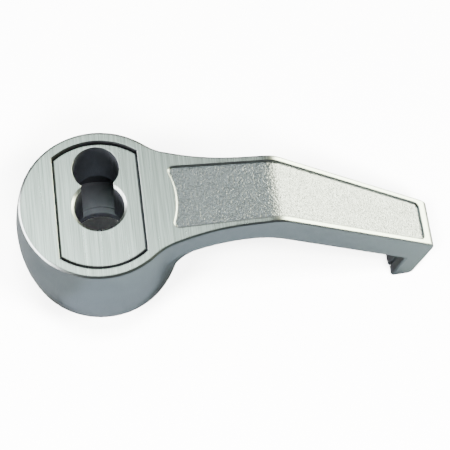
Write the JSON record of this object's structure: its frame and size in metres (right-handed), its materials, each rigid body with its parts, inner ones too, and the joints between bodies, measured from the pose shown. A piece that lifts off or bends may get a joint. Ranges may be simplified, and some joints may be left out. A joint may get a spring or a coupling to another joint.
{
  "type": "door lever",
  "caption": "Satin chrome door lever with a round hub for a figure-eight interchangeable core, a bent tapered arm with a sunk pebbled panel, and a return towards the door.",
  "frame": {"origin": "on the hub axis, in the plane of the hub's base, at the mouth of the spindle bore", "axes": "+Z along the hub axis, out of the door; +X along the arm, from the hub to the tip; +Y completes a right-handed set, towards the pin lobe of the core chamber"},
  "size_m": [0.145, 0.0552, 0.0668],
  "materials": {
    "satin_chrome_casting": "satin chrome on a zinc die casting, brushed face, pebbled panel",
    "satin_chrome_housing": "satin chrome, brushed face, bare machined chamber",
    "spring_steel": "dark phosphated spring steel",
    "zinc_plated_steel": "dull zinc plated steel"
  },
  "bodies": {
    "root": {"lever": "satin_chrome_casting", "core_housing": "satin_chrome_housing", "housing_ring": "spring_steel", "spindle_plate": "zinc_plated_steel", "plate_ring": "spring_steel"}
  },
  "joints": []
}
